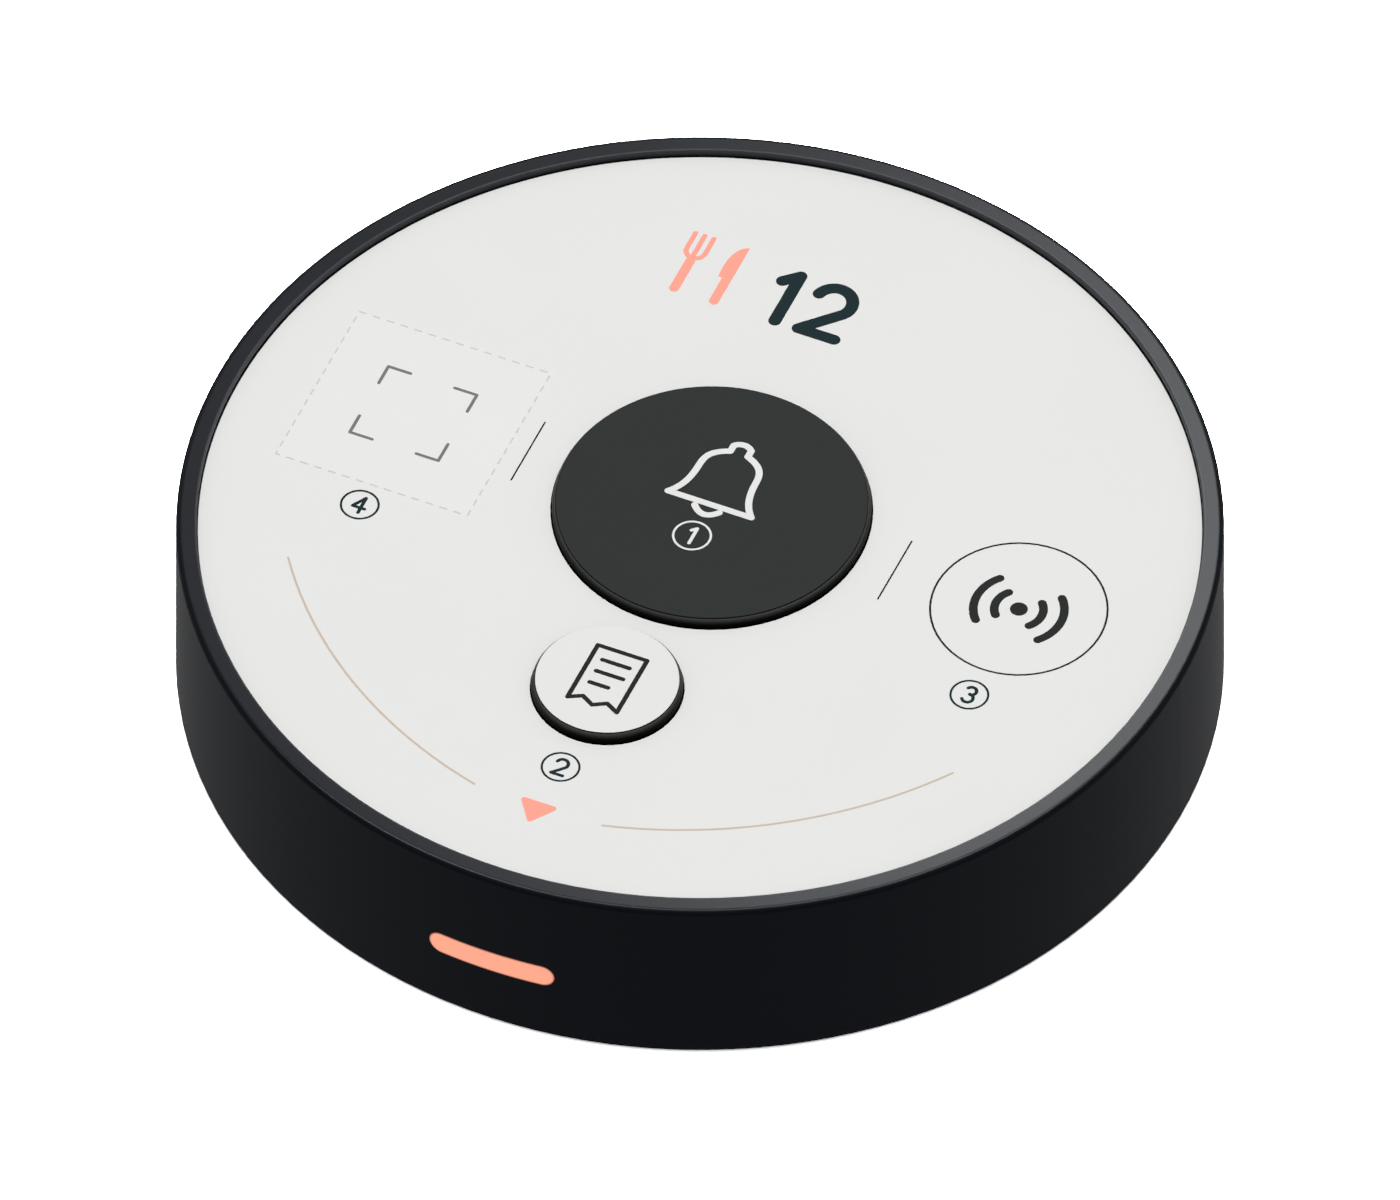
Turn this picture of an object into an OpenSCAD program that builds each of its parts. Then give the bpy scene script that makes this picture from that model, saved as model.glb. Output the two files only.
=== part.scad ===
// Table call button: a round puck with a glued white faceplate, two push buttons, a light bar in
// the front wall and a coin cell under a bayonet cap in the base.
// The origin is the centre of the footprint, on the surface that the rubber feet stand on.
// +Z is up and -Y is the front, where the light bar is. All sizes are in millimetres.

/* [Housing] */
// Diameter of the housing
body_d = 100; // [98:1:116]
// Height from the table to the top of the rim
body_h = 20; // [19.5:0.5:24]
// Thickness of the side wall
wall_t = 2.2; // [1.6:0.1:2.8]
// Width of the rim around the faceplate
rim_w = 2; // [1.6:0.1:3]
// Radius of the rim's outer edge
rim_fillet = 0.55; // [0.3:0.05:0.9]
// Radius of the wall's bottom edge
foot_fillet = 0.15; // [0.1:0.05:0.6]
// Thickness of the deck under the faceplate
deck_t = 1.6; // [1.2:0.1:2.2]

/* [Faceplate] */
// Depth of the faceplate below the rim
plate_sink = 0.9; // [0.4:0.1:1.4]
// Thickness of the faceplate
plate_t = 0.8; // [0.6:0.1:1.2]
// Thickness of the adhesive under it
glue_t = 0.2; // [0.1:0.05:0.3]
// Gap between the faceplate and the rim
plate_gap = 0.05; // [0.05:0.05:0.3]
// Width of the square film for a printed code
patch_w = 20; // [14:1:24]
// Thickness of that film
patch_t = 0.08; // [0.05:0.01:0.2]
// Its place to the left of the middle
patch_x = -31; // [-33:0.5:-29]
// Its place along Y
patch_y = 2.7; // [-4:0.1:8]

/* [Buttons] */
// Diameter of the large call button
call_d = 30.5; // [28:0.1:32]
// Place of the call button along Y
call_y = 2.8; // [2:0.1:6]
// Height of the call button's disc above the faceplate
call_rise = 1.15; // [0.8:0.05:2]
// Diameter of the small bill button
bill_d = 14.5; // [13.8:0.1:16]
// Place of the bill button along Y
bill_y = -22.1; // [-24:0.1:-21.8]
// Height of the bill button's disc above the faceplate
bill_rise = 1.25; // [0.8:0.05:2]
// Travel of both buttons
press_travel = 0.6; // [0.3:0.05:0.8]
// Width of the rounded black rim outside each cover disc
disc_margin = 0.35; // [0.3:0.05:0.8]
// Thickness of the cover discs
disc_t = 0.8; // [0.5:0.1:1.2]
// Height of a cover disc above the cap's rim
disc_proud = 0.12; // [0.05:0.01:0.3]
// Thickness of a cap's skirt
skirt_t = 1.4; // [1:0.1:1.8]
// Thickness of a cap's top under its disc
crown_t = 1.2; // [0.8:0.1:1.6]
// Reach of the keeper tabs under the deck
tab_reach = 1.3; // [0.8:0.1:1.6]
// Thickness of the keeper tabs
tab_t = 1; // [0.8:0.1:1.4]
// Gap around each button in its hole
button_gap = 0.15; // [0.1:0.05:0.25]

/* [Switches and springs] */
// Side of the call switch
call_switch_w = 12; // [10:0.5:12]
// Side of the bill switch
bill_switch_w = 6; // [5:0.5:6.2]
// Height of a switch's case
switch_h = 3.3; // [2.6:0.1:3.6]
// Height of the plunger above the case
plunger_rise = 1; // [0.9:0.1:1.4]
// Mean diameter of the call button's spring
call_spring_d = 19.4; // [18.6:0.1:22]
// Mean diameter of the bill button's spring
bill_spring_d = 10.4; // [9.8:0.1:10.6]
// Diameter of the call spring's wire
call_wire = 0.7; // [0.5:0.05:0.9]
// Diameter of the bill spring's wire
bill_wire = 0.5; // [0.4:0.05:0.6]
// Turns of each spring
spring_turns = 5; // [4:0.5:6]

/* [Light bar] */
// Length of the light bar across the front wall
light_w = 13; // [10:0.5:18]
// Height of the light bar
light_h = 2.6; // [2:0.1:3]
// Width of the light guide's flange behind the wall
light_flange = 1; // [0.6:0.1:1.2]

/* [Tap zone] */
// Place of the antenna to the right of the middle
tap_x = 32; // [31:0.5:33]
// Place of the antenna along Y
tap_y = 2.9; // [-2:0.1:8]
// Diameter of the antenna film
tag_d = 24; // [20:0.5:26]
// Turns of the antenna
tag_turns = 5; // [3:1:6]

/* [Circuit board] */
// Thickness of the circuit board
board_t = 1.6; // [1:0.1:1.8]
// Height of the board's posts under the deck
board_drop = 5.5; // [5.1:0.1:6]
// Diameter of the board's posts
post_d = 5.6; // [5:0.1:7]
// Distance from the board's edge to the middle of its posts
post_inset = 5.5; // [4.5:0.5:7]
// Thread diameter of the board's screws
board_screw_d = 2.2; // [1.8:0.1:2.6]
// Side of the radio module
radio_w = 15; // [12:0.5:16]

/* [Base] */
// Thickness of the base plate
base_t = 2; // [1.8:0.1:2.6]
// Gap between the base plate and the wall
base_gap = 0.2; // [0.1:0.05:0.4]
// Height of the gasket on the base plate
seal_t = 1; // [0.6:0.1:1.4]
// Diameter of the base screws' posts
pillar_d = 6.4; // [6:0.1:7]
// Thread diameter of the base screws
base_screw_d = 2.5; // [2:0.1:3]
// Diameter of the rubber feet
foot_d = 10; // [7:0.5:12]
// Height of the feet below the base plate
foot_proud = 0.4; // [0.3:0.05:0.8]
// Depth of the feet's pockets
foot_pocket = 0.6; // [0.4:0.1:1]

/* [Battery cap] */
// Diameter of the coin cell
cell_d = 24.5; // [20:0.5:24.5]
// Thickness of the coin cell
cell_t = 5; // [4.6:0.1:5.6]
// Thickness of the cap's floor under the cell
cap_floor = 1.6; // [1.4:0.1:1.8]
// Thickness of the cup's wall around the cell
cup_t = 1.2; // [1:0.1:1.5]
// Reach of the bayonet lugs
lug_reach = 1.2; // [0.9:0.1:1.5]
// Thickness of the bayonet lugs
lug_t = 1.3; // [1:0.1:1.5]
// Angle between the cap's locked and open places
unlock_angle = 30; // [28:1:34]
// Gap around the cap where it turns
turn_gap = 0.1; // [0.05:0.01:0.2]

/* [Hidden] */

eps = 0.01;               // overlap of fused shapes, and how far a small cutter runs past a face
past = 1;                 // how far a long cutter runs past what it cuts
round_fn = 128;           // sides of a large circle
small_fn = 48;            // sides of a small circle
edge_steps = 8;           // points on the curve of a rounded edge

// Heights, from the top down
body_r = body_d / 2;
recess_r = body_r - rim_w;
plate_top = body_h - plate_sink;
plate_bottom = plate_top - plate_t;
deck_top = plate_bottom - glue_t;
deck_bottom = deck_top - deck_t;
board_top = deck_bottom - board_drop;
board_bottom = board_top - board_t;
skin_bottom = foot_proud;             // the wall and the base plate end here, above the table
base_top = skin_bottom + base_t;

// Housing
wall_r = body_r - wall_t;
shoulder_w = 1.4;                     // step inside the wall that the gasket presses on
shoulder_h = 1.2;
shoulder_r = wall_r - shoulder_w;
inner_edge = 0.12;                    // rounding of the rim's inner edge
pillar_inset = 1.7;                   // pillars to the shoulder
pillar_ring = shoulder_r - pillar_inset - pillar_d / 2;
pillar_angles = [45, 135, 225, 315];
post_angles = [90, 210, 330];
gusset_t = 1.6;
pilot_play = 0.05;                    // screw to its pilot hole, and shank to its passage
pilot_h = 10;                         // depth of a base screw's pilot hole
pilot_floor = 0.4;                    // plastic left above a board screw's pilot hole
glue_inset = 0.5;                     // adhesive to the rim

// Buttons
tab_angles = [45, 135, 225, 315];
tab_gap = 0.05;                       // keeper tab to deck at rest
disc_gap = 0.05;                      // cover disc to its seat
disc_edge = 0.05;                     // radius of a disc's edge
nose_lean = 42;                       // angle at which a cap's nose meets its seat
nose_lip = 0.02;                      // flat between the nose and the seat
tab_bottom = deck_bottom - tab_gap - tab_t;
call_tab_w = 5;
bill_tab_w = 3;
guide_t = 0.8;                        // guide ribs beside the keeper tabs
guide_gap = 0.2;
call_top = plate_top + call_rise;
bill_top = plate_top + bill_rise;
spring_gap = 0.02;                    // spring wire to its seats
spring_ring_t = 0.7;                  // ring on the cap that centres the spring
spring_ring_gap = 0.3;

// Switches
plunger_r = 1.7;
plunger_gap = 0.1;
plunger_grip = 1.4;                   // plunger inside the case
plunger_top = board_top + switch_h + plunger_rise;
stem_r = 2.3;                         // stem of a cap, over its plunger
leg_w = 1.2;
leg_l = 1;
leg_t = 0.3;

// Circuit board
board_gap = 0.8;                      // board's edge to the base screws' posts
board_r = pillar_ring - pillar_d / 2 - board_gap;
post_ring = board_r - post_inset;
board_grip = 4.4;                     // board screw's length in its post
pan_head_d = 2;                       // screw head's diameter over its thread's
pan_head_h = 0.45;                    // screw head's height over the thread's diameter
radio_l = 12;
radio_h = 2.2;
radio_x = -21;
radio_y = 14;
radio_board_t = 0.8;                  // the module's own small board
radio_can_w = 10.8;                   // shield can on it
radio_can_l = 10.4;

// Small parts on the board: [x, y, length, width, height]
small_parts = [
  [21, 13, 7, 7, 0.9], [21, 20.5, 3.2, 2.5, 0.8], [29, 13, 2, 1.2, 0.7], [29, 9.5, 2, 1.2, 0.7],
  [15, -13, 4.4, 4.4, 2], [22, -7, 3, 1.6, 0.8], [-15, -14, 5, 4, 1.2], [-22, -6, 2, 1.2, 0.7],
  [13, 21, 2, 1.2, 0.7], [-8, 24, 3, 1.6, 0.8]
];

// Light bar
led_w = 3;
led_l = 1.4;
led_h = 1.8;
led_pitch = 4;
light_z = board_bottom - led_h / 2;
light_gap = 0.05;                     // light guide in its window
light_flange_t = 1.4;
light_air = 0.3;                      // board's edge to the light guide
led_inset = 0.3;                      // board's edge to the lights

// Tap zone
film_t = 0.15;
coil_t = 0.1;
track_w = 0.6;
track_pitch = 1.2;
tag_gap = 0.25;                       // antenna film to its pocket
tag_edge = 0.4;                       // film's edge to the track

// Base plate
base_r = wall_r - base_gap;
foot_inset = 6.6;                     // foot to the base plate's edge
foot_ring = base_r - foot_inset - foot_d / 2;
foot_angles = [0, 90, 180, 270];
base_head_d = pan_head_d * base_screw_d;
base_head_h = pan_head_h * base_screw_d;
base_grip = 8;                        // base screw's length above its head
head_sink = 0.2;                      // screw head below the base's face
head_gap = 0.3;
rib_t = 1.2;
rib_h = 1.4;
rib_gap = 1;                          // rib to the shoulder
mark_r = 0.5;                         // dots that show where the cap locks and opens
mark_depth = 0.3;
mark_inset = 1.5;                     // dot to the cap's edge

// Battery cap
flange_w = 3;                         // flange outside the cup
flange_t = 1.1;
cap_seal_t = 0.45;
cap_seal_gap = 0.05;
cell_gap = 0.25;                      // cell in its cup
cup_r = cell_d / 2 + cell_gap + cup_t;
flange_r = cup_r + flange_w;
flange_top = skin_bottom + flange_t;
seat_z = flange_top + cap_seal_t + cap_seal_gap;
ledge_t = 1.5;                        // ledge that the lugs lock behind
ledge_top = seat_z + ledge_t;
lug_bottom = ledge_top + turn_gap;
lug_top = lug_bottom + lug_t;
lug_span = 24;                        // degrees
lug_play = 2;                         // degrees on each side of a lug in its notch
stop_play = 3;                        // degrees from a lug to its stop
lug_angles = [0, 120, 240];
stop_span = 5;                        // degrees
collar_r = cup_r + lug_reach + 2 * turn_gap;
collar_t = 2.3;
collar_top = lug_top + 0.6;
cell_bottom = skin_bottom + cap_floor;
cell_top = cell_bottom + cell_t;
slot_w = 2;
slot_l = 14;
slot_depth = 0.8;
cap_seal_w = 2;
contact_t = 0.25;
contact_w = 4;
contact_gap = 0.05;
contact_pad = 3;                      // soldered end of a contact
leaf_reach = 9;                       // leaf's root to the cell's axis
leaf_tip = 1.5;                       // half of the leaf's flat tip

// Points of an arc about [x, y], from angle a to angle b
function arc(x, y, r, a, b) =
  [for (i = [0:edge_steps]) let (t = a + (b - a) * i / edge_steps) [x + r * cos(t), y + r * sin(t)]];

// A closed tube of triangles that follows the rings of points in order
module tube(rings) {
  sides = len(rings[0]);
  last = len(rings) - 1;
  points = [for (ring = rings) each ring];
  walls = [for (i = [0:last - 1], j = [0:sides - 1])
    let (a = i * sides + j, b = i * sides + (j + 1) % sides)
    each [[a, b, b + sides], [a, b + sides, a + sides]]];
  first_cap = [for (j = [1:sides - 2]) [0, j + 1, j]];
  last_cap = [for (j = [1:sides - 2]) [last * sides, last * sides + j, last * sides + j + 1]];
  polyhedron(points, concat(walls, first_cap, last_cap));
}

// Copies at polar places
module ring_of(angles, radius) {
  for (a = angles) rotate(a) translate([radius, 0, 0]) children();
}

// Part of a ring between two heights, span degrees wide about the +X axis
module sector(r_in, r_out, z0, z1, span) {
  half = span / 2;
  reach = 2 * r_out;
  intersection() {
    translate([0, 0, z0]) difference() {
      cylinder(r = r_out, h = z1 - z0, $fn = round_fn);
      translate([0, 0, -eps]) cylinder(r = r_in, h = z1 - z0 + 2 * eps, $fn = round_fn);
    }
    translate([0, 0, z0 - 1]) linear_extrude(z1 - z0 + 2)
      polygon([[0, 0], reach * [cos(half), -sin(half)], reach * [cos(half), sin(half)]]);
  }
}

// Flat bar with round ends, seen along Y, from y0 to y1
module stadium(w, h, y0, y1) {
  translate([0, y1, light_z]) rotate([90, 0, 0]) linear_extrude(y1 - y0) {
    square([w - h, h], center = true);
    for (s = [-1, 1]) translate([s * (w - h) / 2, 0]) circle(d = h, $fn = small_fn);
  }
}

// ---- Housing ----

module housing_shell() {
  rotate_extrude($fn = round_fn) polygon(concat(
    arc(body_r - foot_fillet, skin_bottom + foot_fillet, foot_fillet, -90, 0),
    arc(body_r - rim_fillet, body_h - rim_fillet, rim_fillet, 0, 90),
    arc(recess_r + inner_edge, body_h - inner_edge, inner_edge, 90, 180),
    [[recess_r, deck_top], [0, deck_top], [0, deck_bottom], [wall_r, deck_bottom]],
    [[wall_r, base_top + seal_t + shoulder_h + shoulder_w]],
    [[shoulder_r, base_top + seal_t + shoulder_h], [shoulder_r, base_top + seal_t]],
    [[wall_r, base_top + seal_t], [wall_r, skin_bottom]]
  ));
}

// Posts for the base screws, each tied to the wall by a gusset
module pillars() {
  post_h = deck_bottom - base_top + eps;
  gusset_z = base_top + seal_t + shoulder_h;
  ring_of(pillar_angles, pillar_ring) {
    translate([0, 0, base_top]) cylinder(d = pillar_d, h = post_h, $fn = small_fn);
    translate([0, -gusset_t / 2, gusset_z])
      cube([wall_r - pillar_ring + wall_t / 2, gusset_t, deck_bottom - gusset_z + eps]);
  }
}

// Ribs under the deck that keep a button's tabs from turning
module guides(y, d, tab_w) {
  rib_l = tab_reach + button_gap;
  rib_depth = tab_gap + tab_t + press_travel;
  translate([0, y, deck_bottom - rib_depth]) ring_of(tab_angles, d / 2 + 2 * button_gap)
    for (s = [-1, 1]) translate([0, s * (tab_w / 2 + guide_gap + guide_t / 2) - guide_t / 2, 0])
      cube([rib_l, guide_t, rib_depth + eps]);
}

// Flange of the light guide behind the wall, or with a gap the room for it
module guide_flange(gap) {
  intersection() {
    cylinder(r = wall_r - light_gap + gap / 2, h = body_h, $fn = round_fn);
    stadium(light_w + 2 * (light_flange + gap), light_h + 2 * (light_flange + gap), -body_r - past,
      light_flange_t + gap - wall_r);
  }
}

module button_hole(y, d) {
  translate([0, y, deck_bottom - past])
    cylinder(r = d / 2 + button_gap, h = body_h, $fn = round_fn);
}

module housing() {
  color([0.12, 0.13, 0.14]) difference() {
    union() {
      housing_shell();
      pillars();
      ring_of(post_angles, post_ring) translate([0, 0, board_top])
        cylinder(d = post_d, h = board_drop + eps, $fn = small_fn);
      guides(call_y, call_d, call_tab_w);
      guides(bill_y, bill_d, bill_tab_w);
    }
    button_hole(call_y, call_d);
    button_hole(bill_y, bill_d);
    ring_of(pillar_angles, pillar_ring) translate([0, 0, base_top - eps])
      cylinder(d = base_screw_d + 2 * pilot_play, h = pilot_h, $fn = small_fn);
    ring_of(post_angles, post_ring) translate([0, 0, board_top - eps])
      cylinder(d = board_screw_d + 2 * pilot_play, h = board_drop - pilot_floor, $fn = small_fn);
    stadium(light_w + 2 * light_gap, light_h + 2 * light_gap, -body_r - past, past - wall_r);
    guide_flange(light_gap);
    translate([tap_x, tap_y, deck_top - film_t - coil_t])
      cylinder(r = tag_d / 2 + tag_gap, h = film_t + coil_t + past, $fn = round_fn);
  }
}

// ---- Faceplate and what lies under it ----

module drilled_disc(r, z, t) {
  difference() {
    translate([0, 0, z]) cylinder(r = r, h = t, $fn = round_fn);
    button_hole(call_y, call_d);
    button_hole(bill_y, bill_d);
  }
}

module faceplate() {
  color([0.91, 0.91, 0.9]) drilled_disc(recess_r - plate_gap, plate_bottom, plate_t);
}

module faceplate_adhesive() {
  color([0.85, 0.85, 0.8]) drilled_disc(recess_r - glue_inset, deck_top, glue_t);
}

module code_patch() {
  color([0.97, 0.97, 0.96]) translate([patch_x, patch_y, plate_top + patch_t / 2])
    cube([patch_w, patch_w, patch_t], center = true);
}

module antenna_film() {
  color([0.75, 0.6, 0.3]) translate([tap_x, tap_y, deck_top - film_t - coil_t])
    cylinder(d = tag_d, h = film_t, $fn = round_fn);
}

// Flat spiral track on the film
module antenna_coil() {
  steps = 36;
  outer = tag_d / 2 - tag_edge;
  turn = [for (i = [0:tag_turns * steps]) 360 * i / steps];
  function spot(a, r) = r * [cos(a), sin(a)];
  function radius(a) = outer - track_pitch * a / 360;
  color([0.8, 0.45, 0.25]) translate([tap_x, tap_y, deck_top - coil_t]) linear_extrude(coil_t)
    polygon(concat(
      [for (a = turn) spot(a, radius(a))],
      [for (i = [len(turn) - 1:-1:0]) spot(turn[i], radius(turn[i]) - track_w)]
    ));
}

module light_bar() {
  color([1, 0.67, 0.55]) {
    intersection() {
      cylinder(r = body_r, h = body_h, $fn = round_fn);
      stadium(light_w, light_h, -body_r - past, -board_r - light_air);
    }
    guide_flange(0);
  }
}

// ---- Circuit board ----

module circuit_board() {
  color([0.1, 0.35, 0.2]) difference() {
    translate([0, 0, board_bottom]) cylinder(r = board_r, h = board_t, $fn = round_fn);
    ring_of(post_angles, post_ring) translate([0, 0, board_bottom - eps])
      cylinder(d = board_screw_d + 2 * pilot_play, h = board_t + 2 * eps, $fn = small_fn);
  }
}

module tact_switch(y, w) {
  bore_h = plunger_grip + press_travel + plunger_gap;
  translate([0, y, board_top]) difference() {
    union() {
      translate([-w / 2, -w / 2, 0]) cube([w, w, switch_h]);
      for (sx = [-1, 1], sy = [-1, 1])
        translate([sx * (w / 2 + leg_l / 2 - eps), sy * w / 4, leg_t / 2])
          cube([leg_l + 2 * eps, leg_w, leg_t], center = true);
    }
    translate([0, 0, switch_h - bore_h])
      cylinder(r = plunger_r + plunger_gap, h = bore_h + past, $fn = small_fn);
  }
}

module plunger(y) {
  translate([0, y, board_top + switch_h - plunger_grip])
    cylinder(r = plunger_r, h = plunger_grip + plunger_rise, $fn = small_fn);
}

module call_switch() {
  color([0.2, 0.2, 0.2]) tact_switch(call_y, call_switch_w);
}

module bill_switch() {
  color([0.2, 0.2, 0.2]) tact_switch(bill_y, bill_switch_w);
}

module radio_module() {
  can_x = (radio_l - radio_can_l) / 2 - radio_w / 2;
  color([0.7, 0.7, 0.72]) translate([radio_x, radio_y, board_top]) {
    translate([-radio_w / 2, -radio_l / 2, 0]) cube([radio_w, radio_l, radio_board_t]);
    translate([can_x, -radio_can_l / 2, 0]) cube([radio_can_w, radio_can_l, radio_h]);
  }
}

module board_components() {
  color([0.15, 0.15, 0.16]) for (p = small_parts)
    translate([p[0] - p[2] / 2, p[1] - p[3] / 2, board_top]) cube([p[2], p[3], p[4]]);
}

module status_leds() {
  color([0.95, 0.9, 0.8]) for (i = [-1:1])
    translate([i * led_pitch - led_w / 2, led_inset - board_r, board_bottom - led_h])
      cube([led_w, led_l, led_h]);
}

// Pan-head screw that points up, its head's seat at z = 0
module screw(d, l) {
  head_d = pan_head_d * d;
  head_h = pan_head_h * d;
  cross_w = 0.25 * d;
  cross_l = 0.6 * head_d;
  difference() {
    union() {
      translate([0, 0, -head_h]) cylinder(d = head_d, h = head_h, $fn = small_fn);
      translate([0, 0, -eps]) cylinder(d = d, h = l + eps, $fn = small_fn);
    }
    translate([0, 0, -head_h]) for (a = [0, 90]) rotate(a)
      cube([cross_l, cross_w, head_h], center = true);
  }
}

module board_screws() {
  color("silver") ring_of(post_angles, post_ring) translate([0, 0, board_bottom])
    screw(board_screw_d, board_t + board_grip);
}

// Leaf under the board that presses on the cell's top
module negative_contact() {
  root = leaf_reach + contact_pad;
  end = 2 * leaf_tip;
  low = cell_top + contact_gap;
  high = board_bottom - contact_t;
  lift = (high - low) / 3;              // upturned end of the leaf
  color("gold") translate([0, contact_w / 2, 0]) rotate([90, 0, 0]) linear_extrude(contact_w)
    polygon([
      [-root, board_bottom], [-root, high], [-leaf_reach, high], [-leaf_tip, low], [leaf_tip, low],
      [end, low + lift], [end, low + lift + contact_t], [leaf_tip, low + contact_t],
      [-leaf_tip, low + contact_t], [-leaf_reach, board_bottom]
    ]);
}

// Bent strip beside the cell's rim
module positive_contact() {
  near = cell_d / 2 + contact_gap;
  low = lug_top + 2 * turn_gap;
  high = board_bottom - contact_t;
  color("gold") translate([0, contact_w / 2, 0]) rotate([90, 0, 0]) linear_extrude(contact_w)
    polygon([
      [near, low], [near + contact_t, low], [near + contact_t, high], [near + contact_pad, high],
      [near + contact_pad, board_bottom], [near, board_bottom]
    ]);
}

// ---- Base ----

module base_plate() {
  opening_r = cup_r + turn_gap;
  stop_r = opening_r + turn_gap;
  notch_r = cup_r + lug_reach + turn_gap;
  rib_start = collar_r + collar_t / 2;
  color([0.13, 0.14, 0.15]) difference() {
    union() {
      translate([0, 0, skin_bottom]) cylinder(r = base_r, h = base_t, $fn = round_fn);
      translate([0, 0, skin_bottom])
        cylinder(r = collar_r + collar_t, h = collar_top - skin_bottom, $fn = round_fn);
      for (a = [22.5:45:359]) rotate(a) translate([rib_start, -rib_t / 2, base_top - eps])
        cube([shoulder_r - rib_start - rib_gap, rib_t, rib_h]);
    }
    translate([0, 0, skin_bottom - eps])
      cylinder(r = flange_r + 2 * turn_gap, h = seat_z - skin_bottom + eps, $fn = round_fn);
    translate([0, 0, seat_z - eps]) cylinder(r = opening_r, h = body_h, $fn = round_fn);
    difference() {
      translate([0, 0, ledge_top]) cylinder(r = collar_r, h = body_h, $fn = round_fn);
      for (a = lug_angles) {
        rotate(a + lug_span / 2 + stop_play + stop_span / 2)
          sector(stop_r, collar_r + eps, ledge_top, lug_top, stop_span);
        rotate(a - unlock_angle - lug_span / 2 - stop_play - stop_span / 2)
          sector(stop_r, collar_r + eps, ledge_top, lug_top, stop_span);
      }
    }
    for (a = lug_angles) rotate(a - unlock_angle)
      sector(opening_r - past, notch_r, seat_z - past, ledge_top + past, lug_span + 2 * lug_play);
    ring_of(pillar_angles, pillar_ring) translate([0, 0, skin_bottom - eps]) {
      cylinder(d = base_screw_d + 4 * pilot_play, h = base_t + past, $fn = small_fn);
      cylinder(d = base_head_d + 2 * head_gap, h = base_head_h + head_sink + eps, $fn = small_fn);
    }
    ring_of(foot_angles, foot_ring) translate([0, 0, skin_bottom - eps])
      cylinder(d = foot_d + 2 * base_gap, h = foot_pocket + eps, $fn = small_fn);
    for (a = [0, -unlock_angle]) rotate(a) translate([flange_r + mark_inset, 0, skin_bottom - eps])
      cylinder(r = mark_r, h = mark_depth, $fn = small_fn);
  }
}

module base_seal() {
  inner_r = base_r - shoulder_w + base_gap;
  color([0.3, 0.3, 0.32]) translate([0, 0, base_top]) difference() {
    cylinder(r = base_r, h = seal_t, $fn = round_fn);
    translate([0, 0, -eps]) cylinder(r = inner_r, h = seal_t + 2 * eps, $fn = round_fn);
  }
}

module base_screws() {
  seat = skin_bottom + head_sink + base_head_h;
  color("silver") ring_of(pillar_angles, pillar_ring) translate([0, 0, seat])
    screw(base_screw_d, base_grip);
}

module feet() {
  edge = 0.2;
  color([0.2, 0.2, 0.2]) ring_of(foot_angles, foot_ring) rotate_extrude($fn = small_fn)
    polygon(concat(
      [[0, foot_proud + foot_pocket], [0, 0]],
      arc(foot_d / 2 - edge, edge, edge, -90, 0),
      [[foot_d / 2, foot_proud + foot_pocket]]
    ));
}

// ---- Buttons ----

// Hollow cap with a bullnosed rim, keeper tabs, a stem over the switch and a ring for its spring
module button_cap(y, d, top, tab_w, spring_d, wire) {
  r = d / 2;
  seat_r = r - disc_margin + disc_gap;
  nose = (r - seat_r - nose_lip) / (1 - cos(nose_lean));
  nose_top = top - disc_proud;
  seat = top - disc_t;
  crown = seat - crown_t;
  ring_r = (spring_d - wire) / 2 - spring_ring_gap;
  ring_h = 1;
  translate([0, y, 0]) {
    rotate_extrude($fn = round_fn) polygon(concat(
      [[r - skirt_t, tab_bottom], [r, tab_bottom]],
      arc(r - nose, nose_top - nose * sin(nose_lean), nose, 0, nose_lean),
      [[seat_r, nose_top], [seat_r, seat], [0, seat], [0, crown], [r - skirt_t, crown]]
    ));
    translate([0, 0, plunger_top]) cylinder(r = stem_r, h = crown - plunger_top + eps, $fn = small_fn);
    translate([0, 0, crown - ring_h]) difference() {
      cylinder(r = ring_r, h = ring_h + eps, $fn = small_fn);
      translate([0, 0, -eps]) cylinder(r = ring_r - spring_ring_t, h = ring_h + past, $fn = small_fn);
    }
    for (a = [0:45:135]) rotate(a) translate([0, 0, crown - ring_h / 2 + eps])
      cube([2 * ring_r - spring_ring_t, spring_ring_t, ring_h], center = true);
    for (a = tab_angles) rotate(a) intersection() {
      translate([0, 0, tab_bottom]) difference() {
        cylinder(r = r + tab_reach, h = tab_t, $fn = round_fn);
        translate([0, 0, -eps]) cylinder(r = r - skirt_t / 2, h = tab_t + past, $fn = round_fn);
      }
      translate([0, -tab_w / 2, tab_bottom - past]) cube([r + 2 * tab_reach, tab_w, tab_t + 2 * past]);
    }
  }
}

module cover_disc(y, d, top) {
  r = d / 2 - disc_margin;
  translate([0, y, 0]) rotate_extrude($fn = round_fn) polygon(concat(
    [[0, top - disc_t], [r, top - disc_t]],
    arc(r - disc_edge, top - disc_edge, disc_edge, 0, 90),
    [[0, top]]
  ));
}

// Return spring from the board to the cap's underside, its end turns drawn together
module return_spring(y, top, mean_d, wire) {
  steps = 12;
  sides = 6;
  low = board_top + wire / 2 + spring_gap;
  high = top - disc_t - crown_t - wire / 2 - spring_gap;
  closed = 0.75;                      // turns at each end that lie close
  closed_pitch = 1.2 * wire;
  rise = high - low - 2 * closed * closed_pitch;
  function height(t) = low + closed_pitch * (min(t, closed) + max(0, t - (spring_turns - closed)))
    + rise * min(1, max(0, (t - closed) / (spring_turns - 2 * closed)));
  turns = [for (i = [0:spring_turns * steps]) i / steps];
  translate([0, y, 0]) tube([for (t = turns) [for (j = [0:sides - 1])
    let (a = 360 * t, b = -360 * j / sides, r = mean_d / 2 + wire / 2 * cos(b))
    [r * cos(a), r * sin(a), height(t) + wire / 2 * sin(b)]]]);
}

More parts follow.
